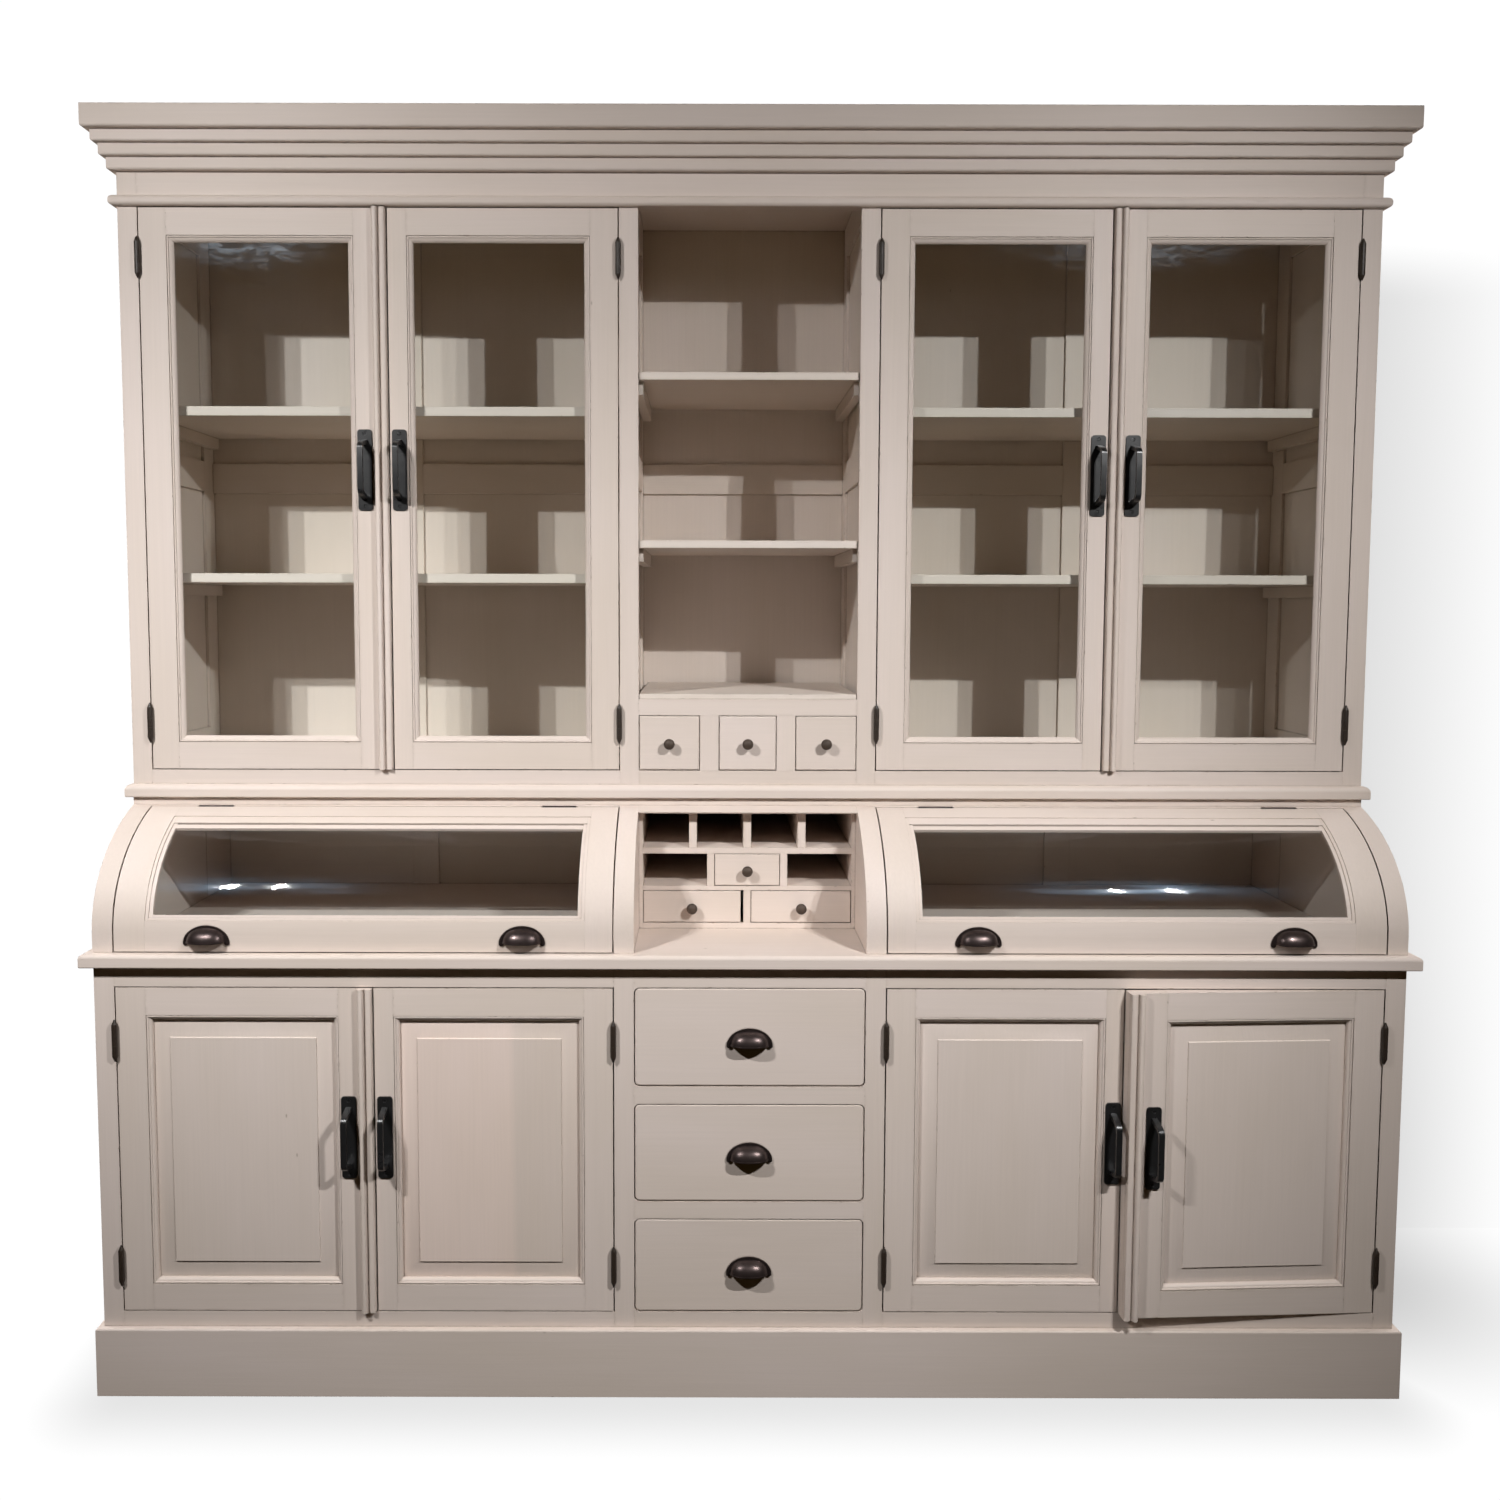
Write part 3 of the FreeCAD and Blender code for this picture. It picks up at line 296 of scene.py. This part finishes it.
MAT = {
    "paint": make_paint("cream_paint"),
    "inside": make_paint("cream_paint_inside", PAINT_TINTED_FOR_INSIDE_LIGHT),
    # the shelf copy carries painted shade on the upper shelf tops
    "shelf": make_paint("cream_paint_shelf", PAINT_TINTED_FOR_INSIDE_LIGHT, 1.0, None, (0.91, 0.855, 0.765)),
    # the back board copy carries painted shade at the top of its inner face
    "back": make_paint("cream_paint_back", PAINT_TINTED_FOR_INSIDE_LIGHT, 1.0, (0.85, 0.83, 0.74)),
    "iron": make_metal("black_iron", (0.017, 0.017, 0.018), (0.011, 0.011, 0.011), 0.30, 0.0, 60.0, 0.5, (0.040, 0.026, 0.018)),
    "bronze": make_metal("dark_bronze", (0.100, 0.074, 0.070), (0.060, 0.044, 0.042), 0.33, 0.8, 70.0),
    "knob": make_metal("worn_bronze", (0.085, 0.058, 0.042), (0.050, 0.034, 0.025), 0.60, 0.2, 90.0),
    "glass": make_glass("pane_glass", 0.0, 0.010, (2.10, 2.168)),
    "bent_glass": make_glass("bent_glass", 0.04, 0.045, None, (0.872, 0.903, 0.905), (2.0, 55.0, 55.0), (0.50, 0.74, 1.0)),
}
SLOT_OF = {s["node"]: s["material_slot"] for s in frame["record"]["subparts"]}


# ------------------------------------------------------------------ boards from the frame's solids
def solids_of(node):
    """Closed solids of a node, in order, as (points, triangles)."""
    me = NODES[node].data
    co = np.empty(len(me.vertices) * 3, np.float32)
    me.vertices.foreach_get("co", co)
    co = co.reshape(-1, 3).astype(np.float64)
    idx = np.empty(len(me.loops), np.int32)
    me.loops.foreach_get("vertex_index", idx)
    key = np.round(co * 1e6).astype(np.int64)
    _, first, inv = np.unique(key, axis=0, return_index=True, return_inverse=True)
    tris = inv.ravel()[idx].reshape(-1, 3)
    pts = co[first]
    out, cur, open_edges, opened = [], [], {}, 0
    for t in tris.tolist():
        cur.append(t)
        for a, b in ((t[0], t[1]), (t[1], t[2]), (t[2], t[0])):
            if a == b:
                continue
            if open_edges.get((b, a), 0) > 0:
                open_edges[(b, a)] -= 1
                opened -= 1
            else:
                open_edges[(a, b)] = open_edges.get((a, b), 0) + 1
                opened += 1
        if opened == 0:
            used = sorted(set(i for q in cur for i in q))
            at = {v: i for i, v in enumerate(used)}
            out.append((pts[used], [[at[i] for i in q] for q in cur]))
            cur, open_edges = [], {}
    return out


AJAR = math.radians(2.8)
AJAR_AT = Vector((1.162, -0.3031, 0.0))
UNTURN = Matrix.Translation(AJAR_AT) @ Matrix.Rotation(-AJAR, 4, "Z") @ Matrix.Translation(-AJAR_AT)


def add_solid(bm, pts, tris, radius, segs, square=None, turn=None, sharp=28.0, kind=0.0):
    """Adds one solid with rounded arrises and its board coordinates to bm."""
    b = bmesh.new()
    vs = [b.verts.new(p) for p in pts]
    for t in tris:
        if len(set(t)) == 3:
            try:
                b.faces.new([vs[i] for i in t])
            except ValueError:
                pass
    bmesh.ops.dissolve_limit(b, angle_limit=math.radians(0.4), verts=b.verts, edges=b.edges, use_dissolve_boundaries=False)
    vol = abs(b.calc_volume(signed=True))
    le = b.faces.layers.float.new("edge")
    if radius > 0:
        lim = math.radians(sharp)
        edges = [e for e in b.edges if len(e.link_faces) == 2 and e.calc_face_angle(0.0) > lim]
        r = bmesh.ops.bevel(b, geom=edges, offset=radius, offset_type="OFFSET", segments=segs, profile=0.6,
                            affect="EDGES", clamp_overlap=True)
        for f in r["faces"]:
            f[le] = 1.0
        bmesh.ops.dissolve_degenerate(b, dist=2e-6, edges=b.edges)
    loc = [(turn @ v.co) if turn else v.co.copy() for v in b.verts]
    lo = [min(c[i] for c in loc) for i in range(3)]
    hi = [max(c[i] for c in loc) for i in range(3)]
    size = [hi[i] - lo[i] for i in range(3)]
    order = sorted(range(3), key=lambda i: -size[i])
    boxy = vol / max(1e-12, size[0] * size[1] * size[2]) > 0.95
    if square is not None:
        boxy = square
    lg = b.verts.layers.float_vector.new("gco")
    ld = b.verts.layers.float_vector.new("bdim")
    lr = b.verts.layers.float.new("brnd")
    lk = b.verts.layers.float.new("kind")
    rnd = rng.random()
    dim = Vector([size[i] for i in order]) if boxy else Vector((50.0, 50.0, 50.0))
    for v, c in zip(b.verts, loc):
        g = Vector([c[i] - lo[i] for i in order])
        v[lg] = g if boxy else g + Vector((20.0, 20.0, 20.0))
        v[ld] = dim
        v[lr] = rnd
        v[lk] = kind
    me = bpy.data.meshes.new("tmp")
    b.to_mesh(me)
    b.free()
    bm.from_mesh(me)
    bpy.data.meshes.remove(me)


def new_bm():
    bm = bmesh.new()
    bm.faces.layers.float.new("edge")
    bm.verts.layers.float_vector.new("gco")
    bm.verts.layers.float_vector.new("bdim")
    bm.verts.layers.float.new("brnd")
    bm.verts.layers.float.new("kind")
    return bm


def finish_piece(bm, name, mat, body, nodes=(), angle=32.0, weighted=True):
    me = bpy.data.meshes.new(name)
    bm.to_mesh(me)
    bm.free()
    me.polygons.foreach_set("use_smooth", [True] * len(me.polygons))
    me.set_sharp_from_angle(angle=math.radians(angle))
    o = bpy.data.objects.new(name, me)
    scene.collection.objects.link(o)
    me.materials.append(mat)
    if weighted:
        w = o.modifiers.new("even_shading", "WEIGHTED_NORMAL")
        w.keep_sharp = True
        w.weight = 80
    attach(o, body)
    if nodes:
        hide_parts(*nodes)
    return o


RADIUS = {"paint": 0.0010, "iron": 0.0009, "bronze": 0.0008, "glass": 0.0}
TIGHT = ("door", "drawer", "face_frame", "lid", "uprights", "curved_ends", "rack", "hinge_rail")
PIECES = {}
for node in sorted(NODES):
    slot = SLOT_OF[node]
    turn = UNTURN if node.startswith("lower_right_outer_door") else None
    bm = new_bm()
    solids = solids_of(node)
    last = len(solids) - 1
    for i, (pts, tris) in enumerate(solids):
        small = float(np.min(pts.max(0) - pts.min(0)))
        rad = RADIUS[slot]
        if slot == "paint" and any(t in node for t in TIGHT):
            rad = 0.0003
        # of the door irons the pull and its two screws come first, then the hinge leaves
        hinge = slot == "iron" and (node == "hinge_fixed_leaves" or ("door" in node and i > 2))
        if slot == "iron" and not hinge and i == 0:
            rad = 0.0014
        # the raised panel is the last piece of wood of a base door
        two_tone = node == "lower_left_inner_door_wood" and i == last
        add_solid(bm, pts, tris, min(rad, small * 0.22), 2, turn=turn, kind=1.0 if hinge or two_tone else 0.0)
    mat = MAT[slot]
    if node.endswith("lid_glass"):
        mat = MAT["bent_glass"]
    elif node.endswith("_knob"):
        mat = MAT["knob"]
    elif node in ("hutch_uprights", "base_interior"):
        mat = MAT["inside"]
    elif node == "hutch_shelves":
        mat = MAT["shelf"]
    elif node == "back_boards":
        mat = MAT["back"]
    o = finish_piece(bm, node + "_finish", mat, BODY_OF[node], (node,))
    if slot == "glass":
        o.visible_shadow = False
    PIECES[node] = o


# ------------------------------------------------------------------ stage
def plane(name, corners, mat):
    me = bpy.data.meshes.new(name)
    me.from_pydata(corners, [], [(0, 1, 2, 3)])
    o = bpy.data.objects.new(name, me)
    scene.collection.objects.link(o)
    me.materials.append(mat)
    return o


def position_axes(nt):
    g = nt.nodes.new("ShaderNodeNewGeometry")
    sep = nt.nodes.new("ShaderNodeSeparateXYZ")
    nt.links.new(g.outputs["Position"], sep.inputs[0])
    return g, sep.outputs


def glow_material(name):
    m = bpy.data.materials.new(name)
    m.use_nodes = True
    nt = m.node_tree
    nt.nodes.clear()
    out = nt.nodes.new("ShaderNodeOutputMaterial")
    em = nt.nodes.new("ShaderNodeEmission")
    nt.links.new(em.outputs[0], out.inputs["Surface"])
    return m, nt, em, out


# pale floor with a soft contact shadow round the plinth
fm, nt, em, out = glow_material("pale_floor")
g, ax = position_axes(nt)
dx = math_node(nt, "MAXIMUM", math_node(nt, "SUBTRACT", math_node(nt, "ABSOLUTE", ax[0]), 1.15), 0.0)
dy = math_node(nt, "MAXIMUM", math_node(nt, "SUBTRACT", math_node(nt, "ABSOLUTE", ax[1]), 0.309), 0.0)
far = math_node(nt, "SQRT", math_node(nt, "ADD", math_node(nt, "MULTIPLY", dx, dx), math_node(nt, "MULTIPLY", dy, dy)))
cast = math_node(nt, "MULTIPLY", remap(nt, ax[0], 1.25, 1.92, 0.48, 0.0, True), remap(nt, ax[0], 1.12, 1.25, 0.0, 1.0, True))
cast = math_node(nt, "MULTIPLY", cast, remap(nt, ax[1], -0.45, 0.15, 0.0, 1.0, True))
cast = math_node(nt, "MULTIPLY", cast, remap(nt, ax[1], 0.36, 0.80, 1.0, 0.0, True))
near = remap(nt, far, 0.0, 0.22, 0.78, 1.03, True)
nt.links.new(math_node(nt, "MINIMUM", near, math_node(nt, "SUBTRACT", 1.03, cast)), em.inputs["Strength"])
floor = plane("floor", [(-40, -30, 0), (40, -30, 0), (40, 40, 0), (-40, 40, 0)], fm)

# pale wall behind, seen from the front only, with a soft shadow on the cabinet's right
wm, nt, em, out = glow_material("pale_wall")
g, ax = position_axes(nt)
side = remap(nt, ax[0], 1.25, 1.95, 1.0, 0.0, True)
side = math_node(nt, "MULTIPLY", side, remap(nt, ax[0], -0.2, 0.4, 0.0, 1.0, True))
tall = math_node(nt, "ADD", remap(nt, ax[2], 0.1, 1.0, 0.50, 0.34, True), 0.0)
band = math_node(nt, "MULTIPLY", math_node(nt, "MULTIPLY", side, tall), remap(nt, ax[2], 2.15, 2.32, 1.0, 0.0, True))
nt.links.new(math_node(nt, "SUBTRACT", 1.03, band), em.inputs["Strength"])
clear = nt.nodes.new("ShaderNodeBsdfTransparent")
mx = nt.nodes.new("ShaderNodeMixShader")
nt.links.new(g.outputs["Backfacing"], mx.inputs[0])
nt.links.new(em.outputs[0], mx.inputs[1])
nt.links.new(clear.outputs[0], mx.inputs[2])
nt.links.new(mx.outputs[0], out.inputs["Surface"])
wall = plane("wall", [(-40, 0.36, 0), (40, 0.36, 0), (40, 0.36, 40), (-40, 0.36, 40)], wm)
for o in (floor, wall):
    o.visible_diffuse = False
    o.visible_glossy = False
    o.visible_transmission = False
    o.visible_shadow = False

# room light: dim and warm for light, plain white where nothing else is seen
world = bpy.data.worlds.new("studio")
world.use_nodes = True
wt = world.node_tree
bg = wt.nodes["Background"]
bg.inputs["Color"].default_value = (1.0, 0.62, 0.22, 1.0)
bg.inputs["Strength"].default_value = 0.014
white = wt.nodes.new("ShaderNodeBackground")
white.inputs["Color"].default_value = (1.0, 1.0, 1.0, 1.0)
white.inputs["Strength"].default_value = 1.03
lp = wt.nodes.new("ShaderNodeLightPath")
mx = wt.nodes.new("ShaderNodeMixShader")
wt.links.new(lp.outputs["Is Camera Ray"], mx.inputs[0])
wt.links.new(bg.outputs[0], mx.inputs[1])
wt.links.new(white.outputs[0], mx.inputs[2])
wt.links.new(mx.outputs[0], wt.nodes["World Output"].inputs["Surface"])
scene.world = world


def aim(o, at):
    o.rotation_euler = (Vector(at) - Vector(o.location)).to_track_quat("-Z", "Y").to_euler()


def add_lamp(name, kind, loc, at, power, colour=(1.0, 1.0, 1.0)):
    d = bpy.data.lights.new(name, kind)
    d.energy = power
    d.color = colour
    o = bpy.data.objects.new(name, d)
    o.location = loc
    aim(o, at)
    scene.collection.objects.link(o)
    o.visible_camera = False
    return o


# two pairs of ceiling spots in front, each with a hot centre and a wide skirt
SPOTS = (
    ((-1.45, -1.837, 2.593), (-1.601, -1.814, 2.593), ((48.9, (-0.874, -0.2, 1.753), 81.1), (72.5, (-0.805, -0.2, -0.884), 100.8))),
    ((1.222, -1.991, 2.611), (1.388, -2.01, 2.611), ((58.7, (0.377, -0.2, 1.175), 98.1), (22.9, (1.162, -0.2, -0.653), 90.6),
                                                    (48.8, (-0.313, -0.2, 0.48), 61.2))),
)
panes = [PIECES["left_lid_glass"], PIECES["right_lid_glass"]]
away = bpy.data.collections.new("lamps_skip")
near_only = bpy.data.collections.new("glints_reach")
for o in panes:
    away.objects.link(o)
    near_only.objects.link(o)
for c in away.collection_objects:
    c.light_linking.link_state = "EXCLUDE"
for i, (pa, pb, parts) in enumerate(SPOTS):
    for j, loc in enumerate((pa, pb)):
        for k, (power, at, cone) in enumerate(parts):
            o = add_lamp("spot_%d_%d_%d" % (i, j, k), "SPOT", loc, at, power)
            o.data.spot_size = math.radians(cone)
            o.data.spot_blend = 1.0
            o.data.shadow_soft_size = 0.014
            o.light_linking.receiver_collection = away

# glints of the lamps in the bent panes
for i, (x, y, z) in enumerate(((-1.601, -1.82, 2.593), (-1.781, -1.82, 2.593), (1.425, -2.0, 2.611), (1.628, -2.0, 2.611))):
    o = add_lamp("glint_%d" % i, "AREA", (x, y, z), (x * 0.75, -0.2, 0.95), 9.0)
    o.data.shape = "ELLIPSE"
    o.data.size = 0.03
    o.data.size_y = 0.20
    o.light_linking.receiver_collection = near_only

# soft fill for the sides, the back and the roof, out of reach of the front
for name, loc, at, size, power in (("fill_left", (-5.0, 1.6, 2.2), (0, 0.6, 1.1), 3.0, 190.0),
                                   ("fill_right", (5.0, 1.6, 2.2), (0, 0.6, 1.1), 3.0, 190.0),
                                   ("fill_back", (0.0, 5.5, 2.6), (0, 0, 1.1), 4.0, 85.0),
                                   ("fill_top", (0.0, 2.2, 5.5), (0, 0.1, 2.3), 2.0, 100.0)):
    o = add_lamp(name, "AREA", loc, at, power)
    o.data.size = size
    o.visible_glossy = False

cam_d = bpy.data.cameras.new("camera")
cam_d.sensor_fit = "HORIZONTAL"
cam_d.sensor_width = 36.0
cam_d.lens = 1300.0 / 1500.0 * 36.0
cam_d.shift_x = (750.0 - 705.5) / 1500.0
cam_d.shift_y = (697.5 - 750.0) / 1500.0
cam_d.clip_end = 200.0
cam = bpy.data.objects.new("camera", cam_d)
scene.collection.objects.link(cam)
cam.matrix_world = (Matrix.Translation((-0.0824, -2.631, 1.4719))
                    @ Matrix.Rotation(math.radians(90.0 - 4.071), 4, "X")
                    @ Matrix.Rotation(math.radians(0.125), 4, "Z"))
scene.camera = cam
scene.view_settings.view_transform = "Standard"
scene.view_settings.look = "None"
scene.view_settings.exposure = 0.0
